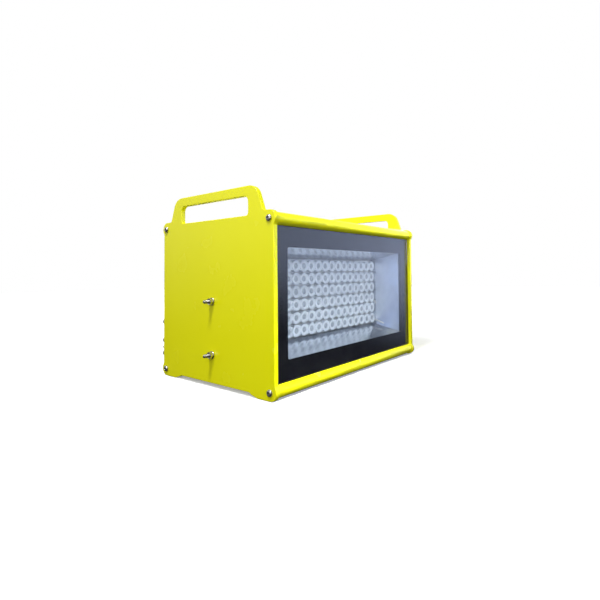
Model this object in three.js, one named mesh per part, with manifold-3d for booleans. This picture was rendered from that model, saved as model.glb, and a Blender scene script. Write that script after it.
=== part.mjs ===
// Warning light head: an LED array behind glass in a yellow aluminium box. Two thick end plates carry the
// handles and the feet, four corner rails tie them together, and thin panels and the glass sit between them.
// X runs along the housing, -Y is the side that shines, +Z is up. Millimetres. The origin is on the surface
// that the feet stand on, at the middle of the box that holds the whole part.

import * as THREE from 'three';
import { mergeVertices } from 'three/addons/utils/BufferGeometryUtils.js';
import Module from 'manifold-3d';

const wasm = await Module();
wasm.setup();

// ---------------------------------------------------------------- driving dimensions
const GAP = 0.3;                  // clearance kept between neighbouring pieces
const FULL_TURN = 2 * Math.PI;

const HOUSING_X = 440;            // over the outer faces of the end plates
const PLATE_THICKNESS = 8;
const SCREW_Y = 130;              // corner screws, from the middle of the housing
const SCREW_Z = 125;
const LOBE_RADIUS = 12.5;          // end plate corner around each screw
const LOBE_FILLET = 6;
const PLATE_EDGE_Y = 139;         // straight front and rear edges of an end plate
const FOOT_INNER_Y = 104;
const FOOT_STEP = { y: 90, z: -134 };
const BELLY = { y: 86.5, z: -131.5 };       // bottom edge of an end plate between its feet

const HANDLE_TOP_Z = 177.7;
const HANDLE_CORNER = { y: 102, radius: 22 };
const HANDLE_ROOT = { y: 116.8, radius: 5 };
const HAND_HOLE = { y: 85, bottom: 132.5, top: 162.3, bottomRadius: 5, topRadius: 9 };

const NOSE_RADIUS = 10.3;         // round outer side of a corner rail
const PANEL_THICKNESS = 3;
const PANEL_OUTER_Z = 131;
const PANEL_EDGE_Y = 119.5;
const COVER_OUTER_Y = 136;        // outer face of the rear cover
const COVER_EDGE_Z = 114.2;
const COVER_LIP = { z: 110.7, thickness: 4 };      // lip of a rear rail behind the cover seal
const SCREW_STRIP = { x: 180, z: 104 };     // deeper middle stretch of that lip, tapped for the cover screws
const FIN_EDGE_Z = 112;           // fin of a front rail that the glass and its gasket rest on
const FIN_REAR_Y = -122;
const RAIL_FLANGE = 26;           // how far a rail reaches inwards under a panel

const GLASS_FRONT_Y = -133.4;
const GLASS_THICKNESS = 5;
const GLASS_EDGE_Z = 118;
const GASKET_THICKNESS = 2;
const GASKET_WIDTH = 13;
const SEAL_WIDTH = 3.5;           // cord seal under the rear cover

const WINDOW = { x: 184, z: 86 };           // front opening of the reflector, half sizes
const ARRAY = { x: 170, z: 69 };            // rear opening of the reflector, half sizes
const REFLECTOR_FRONT_Y = -121.7;
const REFLECTOR_REAR_Y = -58;
const REFLECTOR_THICKNESS = 1.5;
const REFLECTOR_FLANGE = { x: 208, z: 117.5 };

const LED_ROWS = 6;
const LEDS_PER_ROW = 16;
const LED_PITCH_X = 21.1;
const LED_PITCH_Z = 22.7;
const LENS_RADIUS = 10.2;
const LENS_FRONT_Y = -70;
const LENS_DEPTH = 9;
const LENS_BAR_THICKNESS = 1.6;
const STRIP_THICKNESS = 1.6;
const CARRIER_THICKNESS = 3;
const CARRIER_MARGIN = { x: 10, z: 8 };     // past the reflector's rear opening

const FIN_COUNT = 22;
const FIN_SPACE = 2.3;            // gap between two fins over the thickness of one
const FIN_DEPTH = 30;
const SINK_BASE = 6;

const DRIVER = { x: 85, front: 20, rear: 82, halfLength: 68, height: 38 };
const DRIVER_LUG = { length: 10, inset: 14, thickness: 3 };
const BOARD = { left: 38, right: 182, bottom: -48, top: 68, thickness: 1.6 };
const STANDOFF = { radius: 3, height: 14, inset: 7 };
const BOARD_PARTS = [                       // left, right, bottom, top and depth of the blocks on the board
  [60, 100, 5, 45, 26],
  [118, 160, -30, 8, 17],
  [131, 149, 31, 49, 28],
];
const TERMINALS = { left: -168, right: -128, bottom: -92, count: 6, pitch: 11, width: 9, depth: 34, rail: 10 };

const STUD_RADIUS = 3;            // M6
const STUD_LENGTH = 17;           // beyond the outer face of an end plate
const STUD_Z = [0, -86];          // pivot above, locking stud below
const NUT_FLATS = 10;
const NUT_HEIGHT = 5;
const BOLT_HEAD = 4;
const WASHER = { radius: 6.2, thickness: 1.6 };
const BORE_RADIUS = 3.4;          // clearance hole for M6

const SCREW_HEAD = { radius: 5.25, height: 3.3, socket: 2 };
const SCREW_LENGTH = 24;

const GLAND_X = -200.5;           // column of cable glands behind the left end plate
const GLAND_Z = [-44.7, -79.2, -103];
const GLAND_FLATS = 14;
const GLAND_THREAD_RADIUS = 6;    // M12
const GLAND_COLLAR_RADIUS = 5.4;
const GLAND_HEX = 7;              // thickness of a gland body's hexagon
const GLAND_COLLAR = 9;           // length of the collar inside the cap
const GLAND_TAIL = 9;             // length of the thread inside the cover
const GLAND_DOME = { shoulder: 7, chamfer: 0.8, face: 2.6 };
const LOCKNUT = { radius: 7.4, thickness: 5.7 };
const GLAND_TIP_Y = 165;
const CABLE_BORE_RADIUS = 3.4;
const EARTH_STUD = { x: -205.5, z: -91.3, radius: 2.5, length: 26, flats: 8, nut: 4 };
const VENT = { x: 168, z: -96, radius: 9, tail: 14, height: 7 };

// ---------------------------------------------------------------- places worked out from them
const OUTER_X = HOUSING_X / 2;
const INNER_X = OUTER_X - PLATE_THICKNESS;
const RAIL_END_X = INNER_X - GAP;
const FEET_Z = SCREW_Z + LOBE_RADIUS;       // depth of the feet below the middle of the housing
const PANEL_INNER_Z = PANEL_OUTER_Z - PANEL_THICKNESS;
const GLASS_REAR_Y = GLASS_FRONT_Y + GLASS_THICKNESS;
const GASKET_REAR_Y = GLASS_REAR_Y + GAP + GASKET_THICKNESS;
const COVER_INNER_Y = COVER_OUTER_Y - PANEL_THICKNESS;
const ROW_HALF_LENGTH = LEDS_PER_ROW * LED_PITCH_X / 2;
const STRIP_REAR_Y = LENS_FRONT_Y + LENS_DEPTH + LENS_BAR_THICKNESS + GAP + STRIP_THICKNESS;
const CARRIER_FRONT_Y = STRIP_REAR_Y + GAP;
const SINK_FRONT_Y = CARRIER_FRONT_Y + CARRIER_THICKNESS + GAP;
const BODY_FRONT_Y = -(SCREW_Y + LOBE_RADIUS);
const BODY_MIDDLE_Y = (BODY_FRONT_Y + GLAND_TIP_Y) / 2;

// ---------------------------------------------------------------- materials
const finish = (color, roughness, metalness) => new THREE.MeshStandardMaterial({ color, roughness, metalness });
const yellowPaint = finish(0xd8dc14, 0.3, 0);
const steel = finish(0xb4b4b0, 0.3, 1);
const nickel = finish(0xa9a69c, 0.35, 1);
const bareAluminium = finish(0xc0c2c4, 0.4, 1);
const mirrorAluminium = finish(0xd8dade, 0.12, 1);
const glass = finish(0x9fb0b4, 0.05, 0);
const rubber = finish(0x18181a, 0.8, 0);
const lensPlastic = finish(0xe8ecf0, 0.2, 0);
const whiteBoard = finish(0xe4e6e4, 0.5, 0);
const greenBoard = finish(0x1d5a36, 0.5, 0);
const terminalPlastic = finish(0x3c6e49, 0.6, 0);

// ---------------------------------------------------------------- shape helpers
const lamp = new THREE.Group();

/** Adds a named piece of the lamp. */
function piece(name, geometry, material) {
  const mesh = new THREE.Mesh(geometry, material);
  mesh.name = name;
  lamp.add(mesh);
  return mesh;
}

/** A closed geometry as a solid that can be joined and cut. */
function solid(geometry) {
  const bare = geometry.clone();
  bare.deleteAttribute('normal');
  bare.deleteAttribute('uv');
  const merged = mergeVertices(bare, 1e-4);
  const vertProperties = new Float32Array(merged.attributes.position.array);
  const triVerts = new Uint32Array(merged.index.array);
  return new wasm.Manifold(new wasm.Mesh({ numProp: 3, vertProperties, triVerts }));
}

/** The first geometry joined with all the others. */
function join(...geometries) {
  return geometries.map(solid).reduce((sum, next) => sum.add(next));
}

/** A solid less the given geometries, as a geometry again. */
function cut(body, ...holes) {
  const result = holes.map(solid).reduce((rest, hole) => rest.subtract(hole), body);
  const mesh = result.getMesh();
  const geometry = new THREE.BufferGeometry();
  geometry.setAttribute('position', new THREE.BufferAttribute(new Float32Array(mesh.vertProperties), 3));
  geometry.setIndex(new THREE.BufferAttribute(new Uint32Array(mesh.triVerts), 1));
  return geometry;
}

/** A block between two opposite corners. */
function block([x0, y0, z0], [x1, y1, z1]) {
  const size = [Math.abs(x1 - x0), Math.abs(y1 - y0), Math.abs(z1 - z0)];
  return new THREE.BoxGeometry(...size).translate((x0 + x1) / 2, (y0 + y1) / 2, (z0 + z1) / 2);
}

/** A round bar along X, between two values of x. */
function barX(radius, x0, x1, y, z, sides = 12) {
  const bar = new THREE.CylinderGeometry(radius, radius, Math.abs(x1 - x0), sides);
  return bar.rotateZ(Math.PI / 2).translate((x0 + x1) / 2, y, z);
}

/** A round bar along Y, between two values of y. */
function barY(radius, y0, y1, x, z, sides = 16) {
  const bar = new THREE.CylinderGeometry(radius, radius, Math.abs(y1 - y0), sides);
  return bar.translate(0, (y0 + y1) / 2, 0).translate(x, 0, z);
}

/** Points along an arc in the plane of an outline, from one angle to another in degrees. */
function arc(u, v, radius, from, to, steps) {
  return Array.from({ length: steps + 1 }, (_, i) => {
    const angle = THREE.MathUtils.degToRad(from + (to - from) * i / steps);
    return new THREE.Vector2(u + radius * Math.cos(angle), v + radius * Math.sin(angle));
  });
}

/** The stretch of an outline around one corner of a polygon, rounded to the given radius. */
function roundCorner(before, corner, after, radius, steps = 6) {
  const toBefore = before.clone().sub(corner).normalize();
  const toAfter = after.clone().sub(corner).normalize();
  const half = toBefore.angleTo(toAfter) / 2;
  const bisector = toBefore.clone().add(toAfter).normalize();
  const centre = corner.clone().addScaledVector(bisector, radius / Math.sin(half));
  const reach = radius / Math.tan(half);
  const start = corner.clone().addScaledVector(toBefore, reach).sub(centre).angle();
  const end = corner.clone().addScaledVector(toAfter, reach).sub(centre).angle();
  const turn = THREE.MathUtils.euclideanModulo(end - start + Math.PI, FULL_TURN) - Math.PI;
  const degrees = THREE.MathUtils.radToDeg;
  return arc(centre.x, centre.y, radius, degrees(start), degrees(start + turn), steps);
}

/** An outline of [u, v, radius] corners, with each corner that has a radius rounded. */
function roundedOutline(corners) {
  const points = corners.map(([u, v]) => new THREE.Vector2(u, v));
  return corners.flatMap(([, , radius], i) => {
    const before = points.at(i - 1);
    const after = points[(i + 1) % points.length];
    return radius ? roundCorner(before, points[i], after, radius) : [points[i]];
  });
}

/** Extrudes a shape drawn in the YZ plane along X. */
function extrudeX(shape, x0, x1) {
  const geometry = new THREE.ExtrudeGeometry(shape, { depth: x1 - x0, bevelEnabled: false, curveSegments: 12 });
  const turn = new THREE.Matrix4().makeBasis(
    new THREE.Vector3(0, 1, 0), new THREE.Vector3(0, 0, 1), new THREE.Vector3(1, 0, 0));
  return geometry.applyMatrix4(turn).translate(x0, 0, 0);
}

/** A hexagonal bar along Y with two of its corners facing along X. */
function hexBarY(flats, y0, y1, x, z) {
  const bar = new THREE.CylinderGeometry(flats / Math.sqrt(3), flats / Math.sqrt(3), y1 - y0, 6);
  return bar.rotateY(Math.PI / 6).translate(x, (y0 + y1) / 2, z);
}

/** A flat six-sided piece between two four-cornered faces whose corners match one to one. */
function slab(inner, outer) {
  const corners = [...inner, ...outer].flat();
  const faces = [[0, 1, 2, 3], [7, 6, 5, 4], [4, 5, 1, 0], [5, 6, 2, 1], [6, 7, 3, 2], [7, 4, 0, 3]];
  const geometry = new THREE.BufferGeometry();
  geometry.setAttribute('position', new THREE.Float32BufferAttribute(corners, 3));
  geometry.setIndex(faces.flatMap(([a, b, c, d]) => [a, b, c, a, c, d]));
  return geometry;
}

// ---------------------------------------------------------------- end plates
/** Right half of the end plate outline, from the handle down to the belly, as Y and Z. */
function halfPlateOutline() {
  const fillet = LOBE_FILLET;
  const reach = LOBE_RADIUS + fillet;
  const across = PLATE_EDGE_Y + fillet - SCREW_Y;
  const drop = Math.sqrt(reach ** 2 - across ** 2);
  const meet = THREE.MathUtils.radToDeg(Math.atan2(drop, across));
  const handle = roundedOutline([
    [0, HANDLE_TOP_Z, 0],
    [HANDLE_CORNER.y, HANDLE_TOP_Z, HANDLE_CORNER.radius],
    [HANDLE_ROOT.y, FEET_Z, HANDLE_ROOT.radius],
    [SCREW_Y, FEET_Z, 0],
  ]).slice(1, -1);
  const foot = roundedOutline([
    [SCREW_Y, -FEET_Z, 0],
    [FOOT_INNER_Y, -FEET_Z, 12],
    [FOOT_STEP.y, FOOT_STEP.z, 4],
    [BELLY.y, BELLY.z, 1.5],
    [0, BELLY.z, 0],
  ]).slice(1, -1);
  return [
    ...handle,
    ...arc(SCREW_Y, SCREW_Z, LOBE_RADIUS, 90, -meet, 9),
    ...arc(PLATE_EDGE_Y + fillet, SCREW_Z - drop, fillet, 180 - meet, 180, 3),
    ...arc(PLATE_EDGE_Y + fillet, drop - SCREW_Z, fillet, -180, meet - 180, 3),
    ...arc(SCREW_Y, -SCREW_Z, LOBE_RADIUS, meet, -90, 9),
    ...foot,
  ];
}

function endPlateShape() {
  const half = halfPlateOutline();
  const mirrored = half.map((p) => new THREE.Vector2(-p.x, p.y)).reverse();
  const shape = new THREE.Shape([...half, ...mirrored]);
  const hole = HAND_HOLE;
  shape.holes.push(new THREE.Path(roundedOutline([
    [-hole.y, hole.bottom, hole.bottomRadius],
    [hole.y, hole.bottom, hole.bottomRadius],
    [hole.y, hole.top, hole.topRadius],
    [-hole.y, hole.top, hole.topRadius],
  ])));
  const corners = [[1, 1], [1, -1], [-1, 1], [-1, -1]].map(([a, b]) => [a * SCREW_Y, b * SCREW_Z]);
  const studs = STUD_Z.map((z) => [0, z]);
  for (const [y, z] of [...corners, ...studs]) {
    shape.holes.push(new THREE.Path(arc(y, z, BORE_RADIUS, 0, 330, 11)));
  }
  return shape;
}

/** An end plate, with its handle, feet and bores, at the left (-1) or right (+1) end. */
function endPlate(side) {
  const x0 = side < 0 ? -OUTER_X : INNER_X;
  return extrudeX(endPlateShape(), x0, x0 + PLATE_THICKNESS);
}

// ---------------------------------------------------------------- corner rails
/** A front corner rail: round nose, groove for the glass, fin behind it and flange under the panel. */
function frontRail(up) {
  const z = (value) => up * value;
  const body = join(
    barX(NOSE_RADIUS, -RAIL_END_X, RAIL_END_X, -SCREW_Y, z(SCREW_Z), 32),
    block(
      [-RAIL_END_X, -SCREW_Y, z(SCREW_Z - 4)],
      [RAIL_END_X, -SCREW_Y + RAIL_FLANGE, z(PANEL_INNER_Z - GAP)]),
    block([-RAIL_END_X, GASKET_REAR_Y + GAP, z(FIN_EDGE_Z)], [RAIL_END_X, FIN_REAR_Y, z(SCREW_Z)]),
  );
  const overshoot = RAIL_END_X + 1;
  const groove = block(
    [-overshoot, GLASS_FRONT_Y - GAP, z(SCREW_Z - NOSE_RADIUS - 1)],
    [overshoot, GASKET_REAR_Y + GAP, z(GLASS_EDGE_Z + GAP)]);
  const panelSeat = block(
    [-overshoot, -PANEL_EDGE_Y - GAP, z(PANEL_INNER_Z - GAP)],
    [overshoot, -SCREW_Y + RAIL_FLANGE + 1, z(SCREW_Z + NOSE_RADIUS)]);
  return cut(body, groove, panelSeat, ...railBores(-SCREW_Y, z(SCREW_Z)));
}

/** A rear corner rail: round nose, flange under the panel and lip for the rear cover. */
function rearRail(up) {
  const z = (value) => up * value;
  const lipRear = COVER_INNER_Y - 2 * GAP - GASKET_THICKNESS;
  const lipFront = lipRear - COVER_LIP.thickness;
  const body = join(
    barX(NOSE_RADIUS, -RAIL_END_X, RAIL_END_X, SCREW_Y, z(SCREW_Z), 32),
    block(
      [-RAIL_END_X, SCREW_Y, z(SCREW_Z - 4)],
      [RAIL_END_X, SCREW_Y - RAIL_FLANGE, z(PANEL_INNER_Z - GAP)]),
    block([-RAIL_END_X, lipFront, z(COVER_LIP.z)], [RAIL_END_X, lipRear, z(SCREW_Z - 6)]),
    block([-SCREW_STRIP.x, lipFront, z(SCREW_STRIP.z)], [SCREW_STRIP.x, lipRear, z(COVER_LIP.z + 1)]),
  );
  const overshoot = RAIL_END_X + 1;
  const coverSeat = block(
    [-overshoot, lipRear, z(SCREW_STRIP.z - 1)], [overshoot, SCREW_Y + NOSE_RADIUS + 1, z(COVER_EDGE_Z + GAP)]);
  const panelSeat = block(
    [-overshoot, PANEL_EDGE_Y + GAP, z(PANEL_INNER_Z - GAP)],
    [overshoot, SCREW_Y - RAIL_FLANGE - 1, z(SCREW_Z + NOSE_RADIUS)]);
  return cut(body, coverSeat, panelSeat, ...railBores(SCREW_Y, z(SCREW_Z)));
}

/** Screw bores in both ends of a rail. */
function railBores(y, z) {
  const depth = SCREW_LENGTH - PLATE_THICKNESS + 3;
  return [-1, 1].map((side) => barX(BORE_RADIUS, side * (INNER_X + 1), side * (INNER_X - depth), y, z));
}

// ---------------------------------------------------------------- panels, glass and seals
function panel(up) {
  return block(
    [-RAIL_END_X, -PANEL_EDGE_Y, up * PANEL_INNER_Z], [RAIL_END_X, PANEL_EDGE_Y, up * PANEL_OUTER_Z]);
}

/** Rear cover, with round holes for the glands, the earth stud and the vent. */
function rearCover() {
  const sheet = solid(block(
    [-RAIL_END_X, COVER_INNER_Y, -COVER_EDGE_Z], [RAIL_END_X, COVER_OUTER_Y, COVER_EDGE_Z]));
  const hole = (radius, x, z) => barY(radius, COVER_INNER_Y - 1, COVER_OUTER_Y + 1, x, z, 20);
  return cut(sheet,
    ...GLAND_Z.map((z) => hole(GLAND_THREAD_RADIUS + GAP, GLAND_X, z)),
    hole(EARTH_STUD.radius + GAP, EARTH_STUD.x, EARTH_STUD.z),
    hole(VENT.radius / 2 + GAP, VENT.x, VENT.z));
}

/** A flat rectangular ring in the XZ plane. */
function ring(x, z, width, y0, y1) {
  const opening = block([-x + width, y0 - 1, -z + width], [x - width, y1 + 1, z - width]);
  return cut(solid(block([-x, y0, -z], [x, y1, z])), opening);
}

// ---------------------------------------------------------------- optics
/** Top (+1) or bottom (-1) reflector wall, with the flange that holds it behind the fins of the rails. */
function reflectorWall(up) {
  const t = REFLECTOR_THICKNESS;
  const edge = (x, y, z) => [[-x + GAP, y, up * z], [x - GAP, y, up * z]];
  const quad = (lift) => {
    const [a, b] = edge(WINDOW.x, REFLECTOR_FRONT_Y, WINDOW.z + lift);
    const [d, c] = edge(ARRAY.x, REFLECTOR_REAR_Y, ARRAY.z + lift);
    return up < 0 ? [a, b, c, d] : [b, a, d, c];
  };
  const flange = block(
    [-REFLECTOR_FLANGE.x, REFLECTOR_FRONT_Y, up * WINDOW.z],
    [REFLECTOR_FLANGE.x, REFLECTOR_FRONT_Y + t, up * REFLECTOR_FLANGE.z]);
  return cut(join(slab(quad(0), quad(t)), flange));
}

/** Left (-1) or right (+1) reflector wall. */
function reflectorSide(side) {
  const t = REFLECTOR_THICKNESS;
  const quad = (lift) => {
    const front = side * (WINDOW.x + lift);
    const rear = side * (ARRAY.x + lift);
    const corners = [
      [front, REFLECTOR_FRONT_Y, -WINDOW.z + GAP], [front, REFLECTOR_FRONT_Y, WINDOW.z - GAP],
      [rear, REFLECTOR_REAR_Y, ARRAY.z - GAP], [rear, REFLECTOR_REAR_Y, -ARRAY.z + GAP]];
    return side > 0 ? corners : corners.reverse();
  };
  const flange = block(
    [side * WINDOW.x, REFLECTOR_FRONT_Y, -WINDOW.z + GAP],
    [side * REFLECTOR_FLANGE.x, REFLECTOR_FRONT_Y + t, WINDOW.z - GAP]);
  return cut(join(slab(quad(0), quad(t)), flange));
}

const ledX = (column) => (column - (LEDS_PER_ROW - 1) / 2) * LED_PITCH_X;
const ledZ = (row) => ((LED_ROWS - 1) / 2 - row) * LED_PITCH_Z;

/** One row of collimator lenses on a common base. */
function lensBar(row) {
  const base = LENS_FRONT_Y + LENS_DEPTH;
  const bar = block(
    [-ROW_HALF_LENGTH, base, ledZ(row) - LENS_RADIUS],
    [ROW_HALF_LENGTH, base + LENS_BAR_THICKNESS, ledZ(row) + LENS_RADIUS]);
  const lenses = Array.from({ length: LEDS_PER_ROW }, (_, column) =>
    barY(LENS_RADIUS, LENS_FRONT_Y, base + LENS_BAR_THICKNESS / 2, ledX(column), ledZ(row), 8));
  return cut(join(bar, ...lenses));
}

function ledStrip(row) {
  return block(
    [-ROW_HALF_LENGTH, STRIP_REAR_Y - STRIP_THICKNESS, ledZ(row) - LENS_RADIUS],
    [ROW_HALF_LENGTH, STRIP_REAR_Y, ledZ(row) + LENS_RADIUS]);
}

function ledCarrier() {
  const { x, z } = CARRIER_MARGIN;
  return block(
    [-ARRAY.x - x, CARRIER_FRONT_Y, -ARRAY.z - z],
    [ARRAY.x + x, CARRIER_FRONT_Y + CARRIER_THICKNESS, ARRAY.z + z]);
}

/** Heat sink with upright fins: a comb outline in plan, extruded upwards. */
function heatSink() {
  const finWidth = 2 * ARRAY.x / (FIN_COUNT + (FIN_COUNT - 1) * FIN_SPACE);
  const rear = SINK_FRONT_Y + SINK_BASE;
  const tip = rear + FIN_DEPTH;
  const teeth = Array.from({ length: FIN_COUNT }, (_, fin) => {
    const left = -ARRAY.x + fin * finWidth * (1 + FIN_SPACE);
    return [[left, rear], [left, tip], [left + finWidth, tip], [left + finWidth, rear]];
  }).flat();
  const comb = [[ARRAY.x, SINK_FRONT_Y], [-ARRAY.x, SINK_FRONT_Y], ...teeth.slice(1, -1)];
  const shape = new THREE.Shape(comb.map(([x, y]) => new THREE.Vector2(x, y)));
  const height = 2 * ARRAY.z;
  return new THREE.ExtrudeGeometry(shape, { depth: height, bevelEnabled: false }).translate(0, 0, -height / 2);
}

// ---------------------------------------------------------------- electrics
/** A driver in a metal case with a mounting foot at each end, standing on the bottom panel. */
function driver(centreX) {
  const floor = -PANEL_INNER_Z + GAP;
  const { front, rear, halfLength, height } = DRIVER;
  const { length, inset, thickness } = DRIVER_LUG;
  const reach = halfLength + length;
  return cut(join(
    block([centreX - halfLength, front, floor], [centreX + halfLength, rear, floor + height]),
    block([centreX - reach, front + inset, floor], [centreX + reach, rear - inset, floor + thickness]),
  ));
}

/** Control board on four standoffs inside the rear cover. */
function controlBoard() {
  const { left, right, bottom, top, thickness } = BOARD;
  const { radius, height, inset } = STANDOFF;
  const seat = COVER_INNER_Y - GAP;
  const rear = seat - height;
  const front = rear - thickness;
  const board = block([left, front, bottom], [right, rear, top]);
  const parts = BOARD_PARTS.map(([x0, x1, z0, z1, depth]) =>
    block([x0, front - depth, z0], [x1, front + 0.5, z1]));
  const standoffs = [left + inset, right - inset].flatMap((x) => [bottom + inset, top - inset].map((z) =>
    barY(radius, rear - 0.5, seat, x, z, 8)));
  return cut(join(board, ...parts, ...standoffs));
}

/** Rail-mounted terminals for the incoming cables, inside the rear cover beside the glands. */
function terminalBlock() {
  const { left, right, bottom, count, pitch, width, depth, rail } = TERMINALS;
  const seat = COVER_INNER_Y - GAP;
  const top = bottom + (count - 1) * pitch + width;
  const terminals = Array.from({ length: count }, (_, i) => block(
    [left, seat - rail + 2 - depth, bottom + i * pitch], [right, seat - rail + 2, bottom + i * pitch + width]));
  return cut(join(
    block([left + 3, seat - rail, bottom - 6], [right - 3, seat, top + 4]),
    block([left + 8, seat - depth, bottom - 2], [right - 8, seat - rail + 1, top + 1]),
    ...terminals,
  ));
}

// ---------------------------------------------------------------- fasteners and fittings
/** A round profile of [radius, height] pairs turned about Y, from y0 on, at a given x and z. */
function turnedY(profile, y0, x, z, sides = 20) {
  const points = profile.map(([radius, height]) => new THREE.Vector2(radius, height));
  return new THREE.LatheGeometry(points, sides).translate(x, y0, z);
}

/** The same profile turned about X, pointing outwards at the left (-1) or right (+1) end. */
function turnedX(profile, side, x0, y, z, sides = 20) {
  const points = profile.map(([radius, height]) => new THREE.Vector2(radius, height));
  return new THREE.LatheGeometry(points, sides).rotateZ(-side * Math.PI / 2).translate(side * x0, y, z);
}

/** Socket button-head screw at a corner of an end plate. */
function cornerScrew(side, y, z) {
  const { radius, height, socket } = SCREW_HEAD;
  const headBase = SCREW_LENGTH + GAP;
  const profile = [
    [0, 0], [STUD_RADIUS, 0], [STUD_RADIUS, headBase], [radius, headBase],
    [radius * 0.9, headBase + height * 0.65],
    [radius * 0.62, headBase + height], [socket, headBase + height], [socket, headBase + height * 0.4],
    [0, headBase + height * 0.4]];
  return turnedX(profile, side, OUTER_X - SCREW_LENGTH, y, z, 12);
}

/** The hexagon of an M6 nut or bolt head on the axis of a stud, between two values of x. */
function hexBarX(x0, x1, z) {
  const corner = NUT_FLATS / Math.sqrt(3);
  const bar = new THREE.CylinderGeometry(corner, corner, Math.abs(x1 - x0), 6);
  return bar.rotateZ(Math.PI / 2).translate((x0 + x1) / 2, 0, z);
}

/** Hexagon bolt put through an end plate from inside; its threaded end stands out as a mounting stud. */
function mountingBolt(side, z) {
  const tip = OUTER_X + STUD_LENGTH;
  const start = INNER_X - GAP - BOLT_HEAD;
  const length = tip - start;
  const rounded = STUD_RADIUS * 0.55;
  const profile = [[0, 0], [STUD_RADIUS, 0], [STUD_RADIUS, length - 1.6], [rounded, length], [0, length]];
  const shank = turnedX(profile, side, start, 0, z, 16);
  return cut(join(hexBarX(side * start, side * (start + BOLT_HEAD), z), shank));
}

/** Hexagon nut with its washer, bored clear of the stud. */
function studNut(side, z) {
  const base = OUTER_X + GAP;
  const seat = base + WASHER.thickness;
  const hex = hexBarX(side * seat, side * (seat + NUT_HEIGHT), z);
  const washer = barX(WASHER.radius, side * base, side * (base + WASHER.thickness + 0.1), 0, z, 20);
  const thread = barX(STUD_RADIUS + GAP, side * (base - 1), side * (seat + NUT_HEIGHT + 1), 0, z);
  return cut(join(hex, washer), thread);
}

/** Body of a cable gland: thread and locknut inside the cover, hexagon outside, collar under the cap. */
function glandBody(z) {
  const inner = COVER_INNER_Y - GLAND_TAIL;
  const outer = COVER_OUTER_Y + GAP;
  const hexEnd = outer + GLAND_HEX;
  const collarEnd = hexEnd + GLAND_COLLAR;
  const nutRear = COVER_INNER_Y - GAP;
  return cut(join(
    barY(GLAND_THREAD_RADIUS, inner, outer + 1, GLAND_X, z, 20),
    barY(LOCKNUT.radius, nutRear - LOCKNUT.thickness, nutRear, GLAND_X, z, 24),
    hexBarY(GLAND_FLATS, outer, hexEnd, GLAND_X, z),
    barY(GLAND_COLLAR_RADIUS, hexEnd - 1, collarEnd, GLAND_X, z, 20),
  ), barY(CABLE_BORE_RADIUS, inner - 1, collarEnd + 1, GLAND_X, z, 16));
}

/** Domed cap nut of a cable gland, turned by its flats to grip a cable. */
function glandCap(z) {
  const base = COVER_OUTER_Y + GLAND_HEX + 2 * GAP;
  const length = GLAND_TIP_Y - base;
  const round = GLAND_FLATS / 2 - 0.05;
  const { shoulder, chamfer, face } = GLAND_DOME;
  const dome = turnedY([
    [0, 0], [round, 0], [round, length - shoulder], [round - chamfer, length - shoulder / 2],
    [round - face, length], [0, length]], base, GLAND_X, z, 24);
  return cut(join(dome, hexBarY(GLAND_FLATS, base, base + length - shoulder - 2, GLAND_X, z)),
    barY(GLAND_COLLAR_RADIUS + GAP, base - 1, base + GLAND_COLLAR + 2, GLAND_X, z, 20),
    barY(CABLE_BORE_RADIUS, base - 1, GLAND_TIP_Y + 1, GLAND_X, z, 16));
}

/** Earth stud clinched flush into the rear cover, with its nut, made as one piece. */
function earthStud() {
  const { x, z, radius, length, flats, nut } = EARTH_STUD;
  const outer = COVER_OUTER_Y + GAP;
  return cut(join(
    barY(radius, COVER_INNER_Y, COVER_OUTER_Y + length, x, z, 12),
    hexBarY(flats, outer, outer + nut, x, z),
  ));
}

/** Pressure-equalising vent plug through the rear cover. */
function ventPlug() {
  const { x, z, radius, tail, height } = VENT;
  const top = tail + height;
  const profile = [
    [0, 0], [radius / 2, 0], [radius / 2, tail], [radius, tail],
    [radius, top - 2], [radius * 0.8, top], [0, top]];
  return turnedY(profile, COVER_OUTER_Y + GAP - tail, x, z, 24);
}

// ---------------------------------------------------------------- assembly
const ends = [['left', -1], ['right', 1]];
const levels = [['top', 1], ['bottom', -1]];

for (const [end, side] of ends) {
  piece(`${end}_end_plate`, endPlate(side), yellowPaint);
  piece(`reflector_${end}`, reflectorSide(side), mirrorAluminium);
  ['pivot', 'lock'].forEach((job, i) => {
    piece(`${end}_${job}_stud`, mountingBolt(side, STUD_Z[i]), steel);
    piece(`${end}_${job}_nut`, studNut(side, STUD_Z[i]), steel);
  });
  for (const [level, up] of levels) {
    piece(`${end}_${level}_front_screw`, cornerScrew(side, -SCREW_Y, up * SCREW_Z), steel);
    piece(`${end}_${level}_rear_screw`, cornerScrew(side, SCREW_Y, up * SCREW_Z), steel);
  }
}

for (const [level, up] of levels) {
  piece(`${level}_front_rail`, frontRail(up), yellowPaint);
  piece(`${level}_rear_rail`, rearRail(up), yellowPaint);
  piece(`${level}_panel`, panel(up), yellowPaint);
  piece(`reflector_${level}`, reflectorWall(up), mirrorAluminium);
}

piece('rear_cover', rearCover(), yellowPaint);
piece('rear_seal',
  ring(RAIL_END_X, COVER_EDGE_Z, SEAL_WIDTH, COVER_INNER_Y - GAP - GASKET_THICKNESS, COVER_INNER_Y - GAP),
  rubber);
piece('front_glass',
  block([-RAIL_END_X, GLASS_FRONT_Y, -GLASS_EDGE_Z], [RAIL_END_X, GLASS_REAR_Y, GLASS_EDGE_Z]), glass);
piece('glass_gasket', ring(RAIL_END_X, GLASS_EDGE_Z, GASKET_WIDTH, GLASS_REAR_Y + GAP, GASKET_REAR_Y), rubber);

piece('led_carrier', ledCarrier(), bareAluminium);
piece('heat_sink', heatSink(), bareAluminium);
for (let row = 0; row < LED_ROWS; row += 1) {
  piece(`led_strip_${row + 1}`, ledStrip(row), whiteBoard);
  piece(`lens_bar_${row + 1}`, lensBar(row), lensPlastic);
}

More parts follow.
